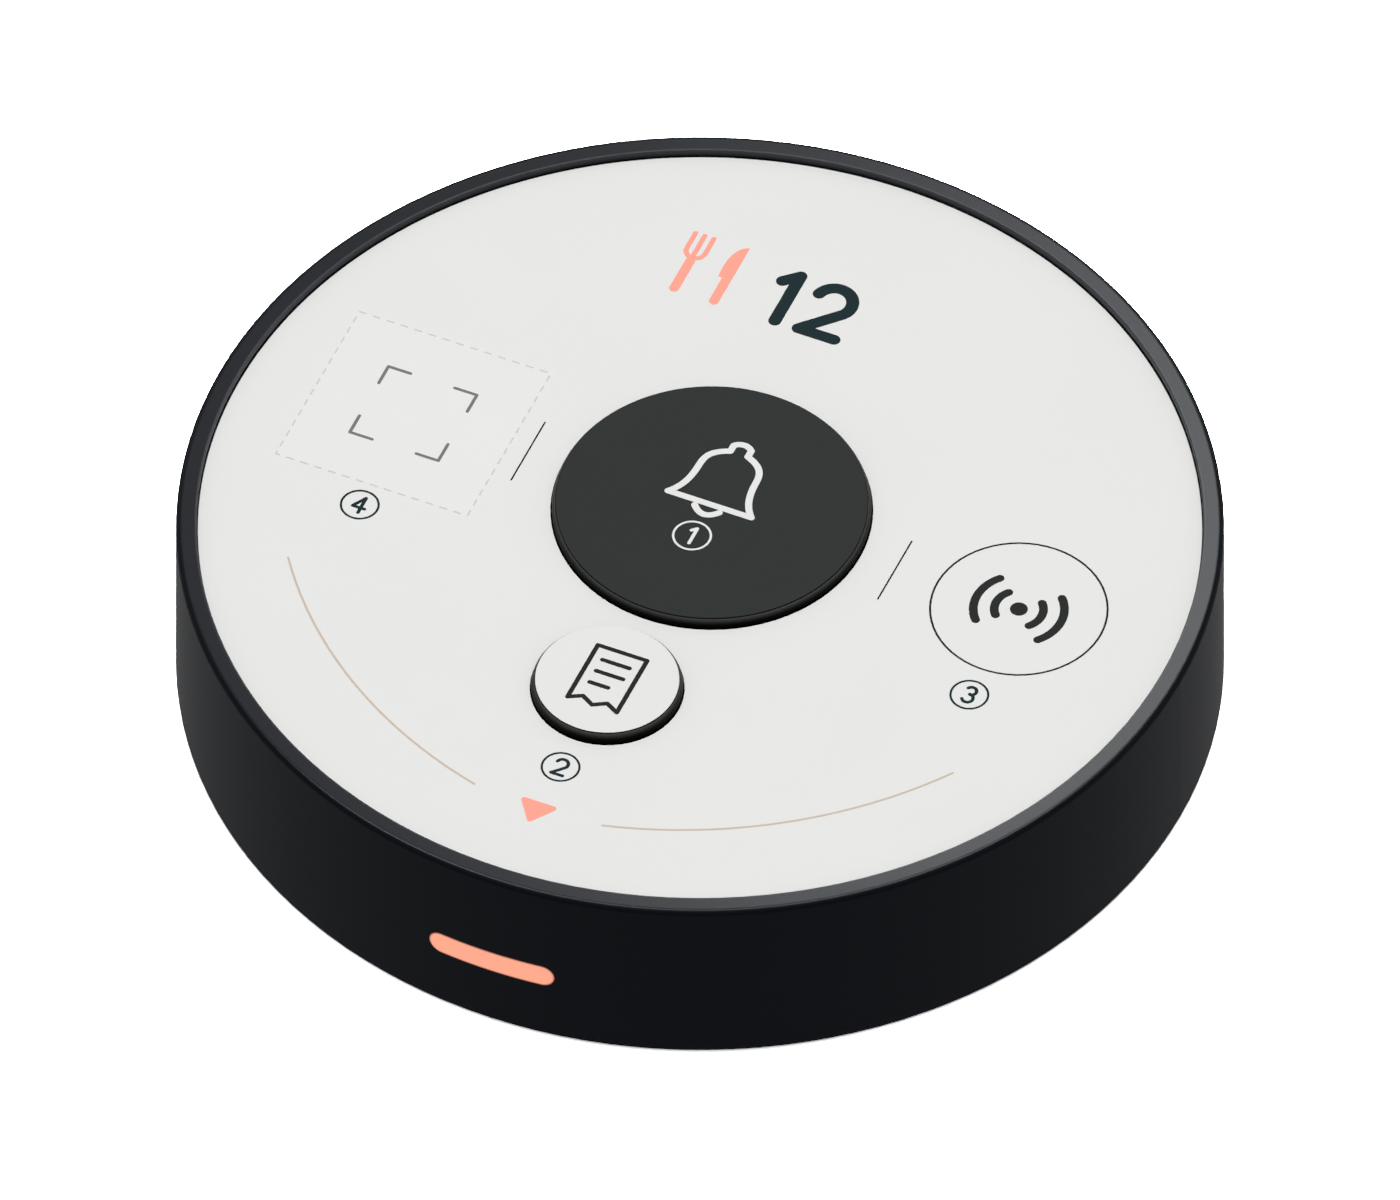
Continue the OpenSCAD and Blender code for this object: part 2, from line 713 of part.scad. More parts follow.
module call_cap() {
  color([0.1, 0.1, 0.1])
    button_cap(call_y, call_d, call_top, call_tab_w, call_spring_d, call_wire);
}

module call_cover_disc() {
  color([0.21, 0.22, 0.21]) cover_disc(call_y, call_d, call_top);
}

module call_plunger() {
  color([0.85, 0.85, 0.85]) plunger(call_y);
}

module call_spring() {
  color("silver") return_spring(call_y, call_top, call_spring_d, call_wire);
}

module bill_cap() {
  color([0.1, 0.1, 0.1])
    button_cap(bill_y, bill_d, bill_top, bill_tab_w, bill_spring_d, bill_wire);
}

module bill_cover_disc() {
  color([0.93, 0.93, 0.92]) cover_disc(bill_y, bill_d, bill_top);
}

module bill_plunger() {
  color([0.85, 0.85, 0.85]) plunger(bill_y);
}

module bill_spring() {
  color("silver") return_spring(bill_y, bill_top, bill_spring_d, bill_wire);
}

// ---- Battery cap ----

// Cup for the cell with a flange that lies flush in the base and three lugs that lock above it
module battery_cap() {
  color([0.16, 0.17, 0.18]) difference() {
    union() {
      translate([0, 0, skin_bottom]) cylinder(r = flange_r, h = flange_t, $fn = round_fn);
      translate([0, 0, skin_bottom]) cylinder(r = cup_r, h = lug_top - skin_bottom, $fn = round_fn);
      for (a = lug_angles) rotate(a)
        sector(cup_r - cup_t / 2, cup_r + lug_reach, lug_bottom, lug_top, lug_span);
    }
    translate([0, 0, cell_bottom]) cylinder(r = cup_r - cup_t, h = body_h, $fn = round_fn);
    translate([-slot_l / 2, -slot_w / 2, skin_bottom - past]) cube([slot_l, slot_w, slot_depth + past]);
    translate([flange_r - mark_inset, 0, skin_bottom - eps])
      cylinder(r = mark_r, h = mark_depth, $fn = small_fn);
  }
}

module battery_cap_seal() {
  outer_r = flange_r - turn_gap;
  color([0.3, 0.3, 0.32]) translate([0, 0, flange_top]) difference() {
    cylinder(r = outer_r, h = cap_seal_t, $fn = round_fn);
    translate([0, 0, -eps]) cylinder(r = outer_r - cap_seal_w, h = cap_seal_t + past, $fn = round_fn);
  }
}

module coin_cell() {
  lid_inset = 1.2;                      // the lid is the negative pole
  lid_t = 0.3;
  lid_r = cell_d / 2 - lid_inset;
  edge = 0.3;
  color("silver") rotate_extrude($fn = round_fn) polygon(concat(
    [[0, cell_top], [0, cell_bottom]],
    arc(cell_d / 2 - edge, cell_bottom + edge, edge, -90, 0),
    arc(cell_d / 2 - edge, cell_top - lid_t - edge, edge, 0, 90),
    [[lid_r, cell_top - lid_t], [lid_r, cell_top]]
  ));
}

housing();
faceplate();
faceplate_adhesive();
code_patch();
light_bar();
status_leds();
circuit_board();
call_switch();
bill_switch();
radio_module();
board_components();
board_screws();
negative_contact();
positive_contact();
antenna_film();
antenna_coil();
base_plate();
base_seal();
base_screws();
feet();
call_cap();
call_cover_disc();
call_plunger();
call_spring();
bill_cap();
bill_cover_disc();
bill_plunger();
bill_spring();
battery_cap();
battery_cap_seal();
coin_cell();
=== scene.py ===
# %% [markdown]
# # A table call button
#
# A round black puck stands on a restaurant table. A guest presses its large button to call the
# waiter, or its small one for the bill. The CAD model holds every part of it, down to the coin
# cell. In this lesson that model gets its looks: a studio, a camera, a finish for each part and
# the print on its white plate.
#
# The model is loaded first, and nothing is allowed to move it. All lengths in Blender are metres,
# so MM turns the millimetres that a maker thinks in into metres.

# %% Load the model
import math

import bmesh
import bpy
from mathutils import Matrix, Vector
from mathutils.geometry import delaunay_2d_cdt


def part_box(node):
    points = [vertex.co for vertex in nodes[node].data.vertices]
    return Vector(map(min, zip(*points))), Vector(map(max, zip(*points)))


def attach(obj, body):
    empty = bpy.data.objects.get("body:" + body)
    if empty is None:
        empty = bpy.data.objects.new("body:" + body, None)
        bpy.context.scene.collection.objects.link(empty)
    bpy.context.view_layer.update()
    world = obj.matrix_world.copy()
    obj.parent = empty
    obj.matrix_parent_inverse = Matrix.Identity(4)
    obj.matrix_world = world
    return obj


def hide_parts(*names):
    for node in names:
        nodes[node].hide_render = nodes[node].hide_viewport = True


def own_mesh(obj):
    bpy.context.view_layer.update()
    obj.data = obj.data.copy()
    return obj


MM = 0.001
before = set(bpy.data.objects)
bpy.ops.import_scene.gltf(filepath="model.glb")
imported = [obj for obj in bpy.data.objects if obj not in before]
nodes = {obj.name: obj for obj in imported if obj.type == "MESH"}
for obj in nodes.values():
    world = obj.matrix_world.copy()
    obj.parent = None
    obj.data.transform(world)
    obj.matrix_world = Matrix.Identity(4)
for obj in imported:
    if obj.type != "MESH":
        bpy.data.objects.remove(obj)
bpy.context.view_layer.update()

# %% [markdown]
# ## The camera
#
# The near and far halves of the rim are equally wide in the picture, and that only happens when
# all lines of sight are parallel. So the camera is orthographic, and its distance doesn't matter.
# A perspective camera with a very long lens would come close, but its picture would need a second
# fit for the distance. The two angles come from the rim's ellipse and from the row of marks on
# the plate, and the scale comes from the puck's diameter of 100 mm.

# %% Place the camera
AZIMUTH = math.radians(23.6)
ELEVATION = math.radians(47.93)
PICTURE_WIDTH = 133.48 * MM
AIM_HEIGHT = 9.15 * MM
CAMERA_AWAY = 1.0

back = Vector((
    math.sin(AZIMUTH) * math.cos(ELEVATION),
    -math.cos(AZIMUTH) * math.cos(ELEVATION),
    math.sin(ELEVATION),
))
camera = bpy.data.objects.new("camera", bpy.data.cameras.new("camera"))
camera.data.type = "ORTHO"
camera.data.ortho_scale = PICTURE_WIDTH
camera.location = Vector((0, 0, AIM_HEIGHT)) + back * CAMERA_AWAY
camera.rotation_mode = "QUATERNION"
camera.rotation_quaternion = (-back).to_track_quat("-Z", "Y")
bpy.context.scene.collection.objects.link(camera)
bpy.context.scene.camera = camera
print("camera looks along", [round(c, 3) for c in -back])

# %% [markdown]
# ## Colours, nodes and meshes
#
# A colour picked from a picture is an sRGB value, and Blender's shaders work with linear light,
# so one function turns a hex value into linear numbers. A second one adds a shader node, sets its
# menus and fills its inputs with numbers or with links. Blender's own way takes a line for each
# of these, and a material would then fill a page. A third one puts a finished mesh in the scene.

# %% Three helpers
def linear(code):
    """Turns a hex colour such as 'E8E8E6' into linear red, green, blue and alpha."""
    parts = [int(code[i:i + 2], 16) / 255 for i in (0, 2, 4)]
    return [p / 12.92 if p <= 0.04045 else ((p + 0.055) / 1.055) ** 2.4 for p in parts] + [1.0]


def add(tree, kind, values=None, **settings):
    """Adds a node with its settings, and fills its inputs with numbers or links."""
    node = tree.nodes.new("ShaderNode" + kind)
    for name, value in settings.items():
        setattr(node, name, value)
    for socket, value in (values or {}).items():
        if isinstance(value, bpy.types.NodeSocket):
            tree.links.new(value, node.inputs[socket])
        else:
            node.inputs[socket].default_value = value
    return node


def show(name, mesh, material):
    """Makes an object from a bmesh and a material, and puts it in the scene."""
    thing = bpy.data.objects.new(name, bpy.data.meshes.new(name))
    mesh.to_mesh(thing.data)
    mesh.free()
    thing.data.materials.append(material)
    bpy.context.scene.collection.objects.link(thing)
    return thing


print("E8E8E6 in linear light:", [round(c, 3) for c in linear("E8E8E6")])

# %% [markdown]
# ## The studio
#
# Product pictures like this one are taken in a white tent: soft light comes from everywhere, and
# the background is plain white. An image of a real studio could light it, but a plain world does
# the same with one number. Rays that look for light get a soft grey. Rays from the camera, and
# those that a shiny or clear part sends out, get white.

# %% The white tent
TENT_LIGHT = 0.30


def seen_directly(tree):
    """1 for rays from the camera, from gloss and through clear parts, and 0 for other rays."""
    ray = add(tree, "LightPath").outputs
    first = add(tree, "Math", {0: ray["Is Camera Ray"], 1: ray["Is Glossy Ray"]},
                operation="MAXIMUM")
    return add(tree, "Math", {0: first.outputs[0], 1: ray["Is Transmission Ray"]},
               operation="MAXIMUM").outputs[0]


world = bpy.data.worlds.new("white tent")
world.use_nodes = True
tent = world.node_tree
strength = add(tent, "MapRange", {"Value": seen_directly(tent), "To Min": TENT_LIGHT})
tent.nodes["Background"].inputs["Color"].default_value = (1, 1, 1, 1)
tent.links.new(strength.outputs[0], tent.nodes["Background"].inputs["Strength"])
bpy.context.scene.world = world
bpy.context.scene.view_settings.view_transform = "Standard"
print("tent light:", TENT_LIGHT)

# %% [markdown]
# The puck stands on a pale table. The floor sends back some of the light, as paper would, and
# gloss sees it as even white, so that the wall doesn't darken towards its foot. For the camera it
# is so bright that only the dark slit under the wall stays, which is all that the picture shows of
# a shadow. A floor that is hidden from the camera would lose that slit, and the puck would float.
# From below the floor is clear, so that the base can be looked at. The white that gloss sees is
# no lamp, so the renderer is told not to aim light rays at it.

# %% The floor's paper
FLOOR_PALE, FLOOR_SEEN, FLOOR_IN_GLOSS = 0.45, 9.0, 1.05

paper = bpy.data.materials.new("pale paper")
paper.use_nodes = True
paper.cycles.emission_sampling = "NONE"
tree = paper.node_tree
tree.nodes.remove(tree.nodes["Principled BSDF"])
camera_ray = add(tree, "LightPath").outputs["Is Camera Ray"]
pale = add(tree, "MapRange", {"Value": camera_ray, "To Min": FLOOR_PALE, "To Max": FLOOR_SEEN})
matt = add(tree, "BsdfDiffuse", {"Color": pale.outputs[0]})
white = add(tree, "Emission", {"Strength": FLOOR_IN_GLOSS})
by_gloss = add(tree, "Math", {0: seen_directly(tree), 1: camera_ray}, operation="SUBTRACT")
top = add(tree, "MixShader", {0: by_gloss.outputs[0], 1: matt.outputs[0], 2: white.outputs[0]})
clear = add(tree, "BsdfTransparent")
side = add(tree, "NewGeometry").outputs["Backfacing"]
both = add(tree, "MixShader", {0: side, 1: top.outputs[0], 2: clear.outputs[0]})
tree.links.new(both.outputs[0], tree.nodes["Material Output"].inputs["Surface"])
print("paper sends back", FLOOR_PALE, "of the light")

# %% [markdown]
# The floor itself is one large square, a hair below the feet, so that the two don't flicker.

# %% The floor
FLOOR_WIDTH = 4.0
FLOOR_DROP = 0.02 * MM

square = bmesh.new()
bmesh.ops.create_grid(square, x_segments=1, y_segments=1, size=FLOOR_WIDTH / 2)
floor = show("floor", square, paper)
floor.location.z = -FLOOR_DROP
print("floor:", FLOOR_WIDTH, "m wide")

# %% [markdown]
# ## One lamp above
#
# A round soft lamp hangs above and gives most of the light, so that a white plate gets its own
# colour. It has to come from above: the plate lies in a shallow dish, and light from all sides
# alone would draw a dark band along the dish's wall. Its brightness is worked out from its size
# and distance. A sun would do the same with hard shadows.

# %% The lamp above
def soft_lamp(name, place, aim, radius, radiance):
    """Hangs up a round, evenly bright lamp that faces a point."""
    lamp = bpy.data.objects.new(name, bpy.data.lights.new(name, "AREA"))
    lamp.data.shape = "DISK"
    lamp.data.size = 2 * radius
    lamp.data.energy = radiance * math.pi * math.pi * radius ** 2
    lamp.location = place
    lamp.rotation_mode = "QUATERNION"
    lamp.rotation_quaternion = (aim - place).to_track_quat("-Z", "Y")
    bpy.context.scene.collection.objects.link(lamp)
    print(name, "has", round(lamp.data.energy, 2), "W")
    return lamp


TOP_RADIUS, TOP_HEIGHT = 0.25, 1.2
TOP_SHARE = 1.0 - TENT_LIGHT
top_radiance = TOP_SHARE * (TOP_RADIUS ** 2 + TOP_HEIGHT ** 2) / TOP_RADIUS ** 2
soft_lamp("top_lamp", Vector((0, 0, TOP_HEIGHT)), Vector((0, 0, 0)), TOP_RADIUS, top_radiance)

# %% [markdown]
# Three panels only show in gloss, because their own light would make one side of the plate
# brighter. A small one stands close behind the puck, where the flat rim mirrors it towards the
# camera. It makes the rim lighter than the wall, most of all on its right and near sides, because
# the far left of the rim mirrors a place beside the panel. A far panel would light the whole rim
# alike. The other two hang high up, one to the left and one to the right. The flat parts mirror
# neither of them, but rounded edges do, and that draws the fine light lines round the rim and
# the buttons.

# %% The gloss panels
# Place, aim and radius are in millimetres. The last number is how bright the panel is.
PANELS = {
    "back_panel": ((-31, 184, 243), (49, -10, 20), 50, 29.2),
    "left_panel": ((-197, 43, 585), (0, 0, 20), 120, 28.0),
    "right_panel": ((103, 174, 585), (0, 0, 20), 120, 28.0),
}
for name, (place, aim, radius, radiance) in PANELS.items():
    panel = soft_lamp(name, Vector(place) * MM, Vector(aim) * MM, radius * MM, radiance)
    panel.visible_diffuse = False

# %% [markdown]
# ## A finish
#
# Every real surface has a grain: the spark marks of a mould, the drawn lines of a wire, the clouds
# of a rubber. This function makes such a finish from two close colours, mixed in clouds, and from
# a fine grain that lifts the surface and changes its gloss a little. The grain could be modelled
# in the mesh, but at a twentieth of a millimetre that would take millions of faces, so it is a
# bump. All its sizes are real millimetres, because the pattern hangs on the part's own
# coordinates. Numbers that are the same all over go straight onto the shader's own sockets.
# Plastics, rubber and ink keep the shader's index of 1.5, which is typical for them, and their
# roughness runs from about 0.3 where they are smooth to 0.8 where they are matt.

# %% The finish maker
def finish(name, light, dark, grain, depth, roughness, cloud=7.0, stretch=(1, 1, 1),
           spread=0.04, **sockets):
    """Makes a material. The grain, its depth and the clouds are in millimetres."""
    material = bpy.data.materials.new(name)
    material.use_nodes = True
    tree = material.node_tree
    place = add(tree, "TexCoord").outputs["Object"]
    clouds = add(tree, "TexNoise", {"Vector": place, "Scale": 1 / (cloud * MM), "Detail": 2.0})
    tone = add(tree, "Mix", {0: clouds.outputs[0], 6: linear(light), 7: linear(dark)},
               data_type="RGBA")
    drawn = add(tree, "Mapping", {"Vector": place, "Scale": stretch})
    grains = add(tree, "TexNoise", {
        "Vector": drawn.outputs[0], "Scale": 1 / (grain * MM), "Detail": 2.0})
    gloss = add(tree, "MapRange", {
        "Value": grains.outputs[0], "To Min": roughness - spread, "To Max": roughness + spread})
    lift = add(tree, "Bump", {"Height": grains.outputs[0], "Distance": depth * MM})
    shader = tree.nodes["Principled BSDF"]
    for socket, value in sockets.items():
        shader.inputs[socket.replace("_", " ")].default_value = value
    tree.links.new(tone.outputs[2], shader.inputs["Base Color"])
    tree.links.new(gloss.outputs[0], shader.inputs["Roughness"])
    tree.links.new(lift.outputs[0], shader.inputs["Normal"])
    return material


# %% [markdown]
# Three small tools go with it. One gives a finish to parts of the model. One lets another colour
# take over on a share of the surface, from 0 to 1. One says how far a point lies from the line
# through the puck's middle, since most of its edges are rings. Faces could be picked by hand and
# given a second material, but that would draw hard lines.

# %% Tools for finishes
def dress(material, *names):
    """Gives a material to parts of the CAD model."""
    for name in names:
        for slot in nodes[name].material_slots:
            slot.material = material
    print(material.name, "on", ", ".join(names))


def recolour(material, share, colour):
    """Lets another colour take over where the share is 1."""
    tree = material.node_tree
    base = tree.nodes["Principled BSDF"].inputs["Base Color"]
    tone = add(tree, "Mix", {0: share, 6: base.links[0].from_socket, 7: colour},
               data_type="RGBA")
    tree.links.new(tone.outputs[2], base)


def off_middle(tree):
    """How far a point lies from the upright line through the puck's middle."""
    place = add(tree, "TexCoord").outputs["Object"]
    level = add(tree, "VectorMath", {0: place, 1: (1, 1, 0)}, operation="MULTIPLY")
    return add(tree, "VectorMath", {0: level.outputs[0]}, operation="LENGTH").outputs["Value"]


# %% [markdown]
# ## The shell
#
# The shell is moulded in black ABS with a hint of blue. Its wall has the fine spark texture that
# hides scratches, and the rim was polished in the mould, so the two differ in gloss though they
# are one part. Real spark marks are about 0.05 mm wide, which is half a pixel here, so they are
# drawn at 0.25 mm. Gloss depends on the specular level, which starts at 0.5 for plastic. Here it
# is low, because fine texture traps most of what a black surface would mirror.

# %% Black ABS for the shell
WALL_MATT = 0.59

shell = finish("black ABS, spark textured", "02040A", "010308", grain=0.25, depth=0.004,
               roughness=WALL_MATT, Specular_IOR_Level=0.045, Specular_Tint=linear("F8FDFF"))
dress(shell, "housing")

# %% [markdown]
# The mould's polish starts where the wall rounds into the rim, so the material looks at its own
# distance from the middle and turns from matt to satin there. A little further in, the rim gets a
# paler tone, which is painted light: it makes the flat top lighter than the wall, and the rounded
# edge stays dark. The polish takes a fraction of a millimetre, as on a real mould, and so does the
# painted light.

# %% Polish the rim and paint light on its top
RIM_SATIN = 0.25
SHELL_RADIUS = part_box("housing")[1].x
# How far inside the wall each change starts, and how far it takes.
POLISH, PAINTED_RIM_LIGHT = (0.15 * MM, 0.20 * MM), (0.30 * MM, 0.35 * MM)

tree = shell.node_tree
rough = tree.nodes["Principled BSDF"].inputs["Roughness"]
black = tree.nodes["Principled BSDF"].inputs["Base Color"].links[0].from_socket
radius = off_middle(tree)
polished, painted_rim_light = [add(tree, "MapRange", {
    "Value": radius, "From Min": SHELL_RADIUS - start, "From Max": SHELL_RADIUS - start - band})
    for start, band in (POLISH, PAINTED_RIM_LIGHT)]
smoother = add(tree, "Math", {0: polished.outputs[0], 1: WALL_MATT - RIM_SATIN},
               operation="MULTIPLY")
satin = add(tree, "Math", {0: rough.links[0].from_socket, 1: smoother.outputs[0]},
            operation="SUBTRACT")
tree.links.new(satin.outputs[0], rough)
# Painted light: the rim's top gets a paler tone than the wall, and its rounded edge keeps the
# wall's black.
recolour(shell, painted_rim_light.outputs[0], linear("25272B"))
print("the polish starts", round(POLISH[0] / MM, 2), "mm inside the wall")

# %% [markdown]
# The step down from the rim to the plate gets painted light and shade: it is painted black at its
# foot, as painted shade where hardly any light gets in, and paler towards the top, as a painted
# reflection of the white plate. Light alone would make it as bright as the rim, because the white
# plate shines on it.

# %% Paint light and shade on the inner wall
SHELL_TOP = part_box("housing")[1].z
PLATE_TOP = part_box("faceplate")[1].z
RECESS_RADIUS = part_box("faceplate")[1].x
# How far outside the plate's edge the look starts, and where it is whole.
INNER_WALL = (0.30 * MM, 0.15 * MM)
# How far above the plate the wall stays black, and how far below the rim it is palest.
INNER_WALL_PAINTED_HEIGHTS = (0.05 * MM, 0.25 * MM)

inward = add(tree, "MapRange", {"Value": radius, "From Min": RECESS_RADIUS + INNER_WALL[0],
                                "From Max": RECESS_RADIUS + INNER_WALL[1]})
height = add(tree, "SeparateXYZ", {0: add(tree, "TexCoord").outputs["Object"]}).outputs["Z"]
upward = add(tree, "MapRange", {"Value": height, "From Min": PLATE_TOP + INNER_WALL_PAINTED_HEIGHTS[0],
                                "From Max": SHELL_TOP - INNER_WALL_PAINTED_HEIGHTS[1]})
# Painted shade at the inner wall's foot, and a painted reflection of the white plate towards its
# top.
inner_wall_light_and_shade = add(tree, "Mix", {0: upward.outputs[0], 6: black, 7: linear("3C3E41")},
              data_type="RGBA")
recolour(shell, inward.outputs[0], inner_wall_light_and_shade.outputs[2])
print("the inner wall is", round((SHELL_TOP - PLATE_TOP) / MM, 2), "mm high")

# %% [markdown]
# The base plate and the battery cap are moulded in the same ABS, with a coarser spark texture
# against scratches from the table.

# %% Black ABS for the base
base = finish("black ABS, coarse spark texture", "121315", "0E0F11", grain=0.35, depth=0.012,
              roughness=0.62, Specular_IOR_Level=0.25)
dress(base, "base_plate", "battery_cap")

# %% [markdown]
# ## The white plate
#
# The plate is a thin white polycarbonate sheet with a velvet surface, so it has hardly any gloss
# and shows no mirror image of the lamp. The square for a printed code is a matt polyester film on
# top of it, a touch brighter. Both are very even in the picture: their clouds differ by one or two
# steps in 255, which the eye takes for real material and not for dirt. Below the plate lies its
# adhesive, a milky acrylic.

# %% Plate, film and adhesive
plate = finish("white polycarbonate, velvet", "E6E6E4", "E4E4E2", grain=0.30, depth=0.002,
               roughness=0.72, cloud=14.0, Specular_IOR_Level=0.05)
film = finish("polyester film, matt", "E8E8E7", "E6E6E5", grain=0.22, depth=0.002,
              roughness=0.80, cloud=9.0, Specular_IOR_Level=0.05)
milky = finish("acrylic adhesive, milky", "DAD9CF", "D0CFC4", grain=0.8, depth=0.010,
               roughness=0.45)
dress(plate, "faceplate")
dress(film, "code_patch")
dress(milky, "faceplate_adhesive")

# %% [markdown]
# The plate's last tenth of a millimetre, down in the corner with the wall, is painted as dark as
# the
# gap beside it: painted shade in the corner. A pale edge there would read as a white thread between
# the plate and the wall.

# %% Paint shade on the plate's edge
EDGE_SHADE_WIDTH = (0.10 * MM, 0.06 * MM)

tree = plate.node_tree
edge_shade = add(tree, "MapRange", {"Value": off_middle(tree), "From Min": RECESS_RADIUS - EDGE_SHADE_WIDTH[0],
                             "From Max": RECESS_RADIUS - EDGE_SHADE_WIDTH[1]})
# Painted shade: the plate's outermost band is painted as dark as the gap beside it.
recolour(plate, edge_shade.outputs[0], linear("1C1E20"))
print("the cut edge is", round(EDGE_SHADE_WIDTH[0] / MM, 2), "mm wide")

# %% [markdown]
# ## The buttons
#
# Each button is a black ABS body with a disc of another sheet let into its top. The large disc is
# a dark grey-green and the small one is white. The discs' upright edges are painted black, as
# painted shade in the seam round each disc. A body's rounded nose is painted a lighter black
# towards its top, as painted light, and its foot in the hole is painted deep black, as painted
# shade. Both follow how far the surface leans, so one function makes them: it gives a material
# another colour where the surface stands upright. On a body the painted light starts where the nose
# faces 42 degrees up.

# %% Button bodies and discs
NOSE_LEAN = math.sin(math.radians(42))


def upright(material, colour, low=0.5, high=0.9):
    """Gives a material another colour where it stands upright, and none where it lies flat.

    The colour fades between low and high, which say how far the surface's normal points up.
    """
    tree = material.node_tree
    lean = add(tree, "SeparateXYZ", {0: add(tree, "NewGeometry").outputs["Normal"]})
    level = add(tree, "Math", {0: lean.outputs["Z"]}, operation="ABSOLUTE")
    flat = add(tree, "MapRange", {"Value": level.outputs[0], "From Min": low, "From Max": high})
    soft = add(tree, "Math", {0: flat.outputs[0], 1: 2.0}, operation="POWER")
    steep = add(tree, "Math", {0: 1.0, 1: soft.outputs[0]}, operation="SUBTRACT")
    recolour(material, steep.outputs[0], linear(colour))


painted_light_and_shade = finish("black ABS, rubbed at the nose", "4A4A49", "474746", grain=0.60, depth=0.001,
                roughness=0.30, Specular_IOR_Level=0.015)
disc_dark = finish("dark polycarbonate, velvet", "262A29", "242827", grain=0.30, depth=0.002,
                   roughness=0.70, cloud=9.0, Specular_IOR_Level=0.05)
disc_white = finish("white polycarbonate disc, velvet", "E5E5E3", "E3E3E1", grain=0.30,
                    depth=0.002, roughness=0.72, cloud=9.0, Specular_IOR_Level=0.05)
# Painted light and shade: a lighter black on the nose's top, and deep black at its foot.
upright(painted_light_and_shade, "020202", low=0.05, high=NOSE_LEAN)
# Painted shade: the discs' upright edges are painted black.
upright(disc_dark, "0A0A0A")
upright(disc_white, "0A0A0A")
dress(painted_light_and_shade, "call_cap", "bill_cap")
dress(disc_dark, "call_cover_disc")
dress(disc_white, "bill_cover_disc")

# %% [markdown]
# ## The light bar
#
# A bar of opal acrylic carries the light of three small lamps to a slot in the front wall. It
# glows evenly, because the milky plastic scatters the light, and it is darker in the last tenths
# of a millimetre, where light escapes into the wall. A clear bar with real lamps behind it would
# need far more rays for the same look, so the bar itself gives light. The material measures how
# far each point lies from the slot's middle line, which stops where the round ends begin, and
# dims the glow towards the edge.

# %% Lit opal acrylic
SLOT_LENGTH, SLOT_HEIGHT = 13.0 * MM, 2.6 * MM
SLOT_MIDDLE = 8.5 * MM
EDGE_WIDTH = 0.22 * MM

opal = finish("opal acrylic, lit", "B47A65", "B07761", grain=0.5, depth=0.001, roughness=0.35,
              Specular_IOR_Level=0.30, Emission_Strength=1.0)
tree = opal.node_tree
spot = add(tree, "SeparateXYZ", {0: add(tree, "TexCoord").outputs["Object"]}).outputs
sideways = add(tree, "Math", {0: spot["X"]}, operation="ABSOLUTE")
past_end = add(tree, "Math", {0: sideways.outputs[0], 1: (SLOT_LENGTH - SLOT_HEIGHT) / 2},
               operation="SUBTRACT")
beyond = add(tree, "Math", {0: past_end.outputs[0], 1: 0.0}, operation="MAXIMUM")
up = add(tree, "Math", {0: spot["Z"], 1: SLOT_MIDDLE}, operation="SUBTRACT")
offset = add(tree, "CombineXYZ", {"X": beyond.outputs[0], "Y": up.outputs[0]})
away = add(tree, "VectorMath", {0: offset.outputs[0]}, operation="LENGTH")
edge = add(tree, "MapRange", {
    "Value": away.outputs["Value"], "From Min": SLOT_HEIGHT / 2 - EDGE_WIDTH,
    "From Max": SLOT_HEIGHT / 2}, interpolation_type="SMOOTHSTEP")
glow = add(tree, "Mix", {0: edge.outputs[0], 6: linear("E6967A"), 7: linear("5A2408")},
           data_type="RGBA")
tree.links.new(glow.outputs[2], tree.nodes["Principled BSDF"].inputs["Emission Color"])
dress(opal, "light_bar")

# %% [markdown]
# ## Inside the puck
#
# Nobody sees the inside until the base comes off, but a part that is used again should be right
# there too. The board is glass cloth in epoxy under a green lacquer, and the cloth shows through
# as a fine weave of 0.45 mm. A brick or checker pattern would look like tiles, so two waves
# at right angles make the weave. The raw, honey-coloured edge shows where the face stands upright.

# %% The circuit board
WEAVE = 0.45 * MM
BANDS_IN_WAVE = math.pi / 10

board = finish("glass epoxy, green lacquer", "0E5A2E", "0B4A26", grain=0.30, depth=0.002,
               roughness=0.35, cloud=3.0)
tree = board.node_tree
place = add(tree, "TexCoord").outputs["Object"]
threads = [add(tree, "TexWave", {"Vector": place, "Scale": BANDS_IN_WAVE / WEAVE},
               bands_direction=axis).outputs["Fac"] for axis in "XY"]
weave = add(tree, "Math", {0: threads[0], 1: threads[1]}, operation="MULTIPLY")
lacquer = add(tree, "Mix", {0: weave.outputs[0], 6: linear("0B4A26"), 7: linear("126636")},
              data_type="RGBA")
tree.links.new(lacquer.outputs[2], tree.nodes["Principled BSDF"].inputs["Base Color"])
upright(board, "B9A468")
dress(board, "circuit_board")

# %% [markdown]
# The small parts on the board are black epoxy, the switches are glass-filled nylon with a slight
# sheen of fibres, and their plungers are white acetal, which feels and looks like soap. The lamps
# are white ceramic packages. The radio sits under a tinned steel can.

# %% Parts on the board
chips = finish("black epoxy, matt", "1C1C1D", "161617", grain=0.15, depth=0.004, roughness=0.60)
nylon = finish("glass filled nylon, black", "1D1D1E", "151516", grain=0.20, depth=0.006,
               roughness=0.50, stretch=(1, 0.25, 1))
acetal = finish("acetal, white", "E4E3DD", "DCDBD4", grain=0.40, depth=0.001, roughness=0.32)
lamps = finish("lamp package, white ceramic", "EFE6C8", "E6DBB4", grain=0.20, depth=0.002,
               roughness=0.40, Emission_Color=linear("FFB494"), Emission_Strength=0.6)
tinned = finish("steel can, tinned", "CFCFCB", "BDBDB9", grain=0.60, depth=0.003,
                roughness=0.34, cloud=2.5, Metallic=1.0)
dress(chips, "board_components")
dress(nylon, "call_switch", "bill_switch")
dress(acetal, "call_plunger", "bill_plunger")
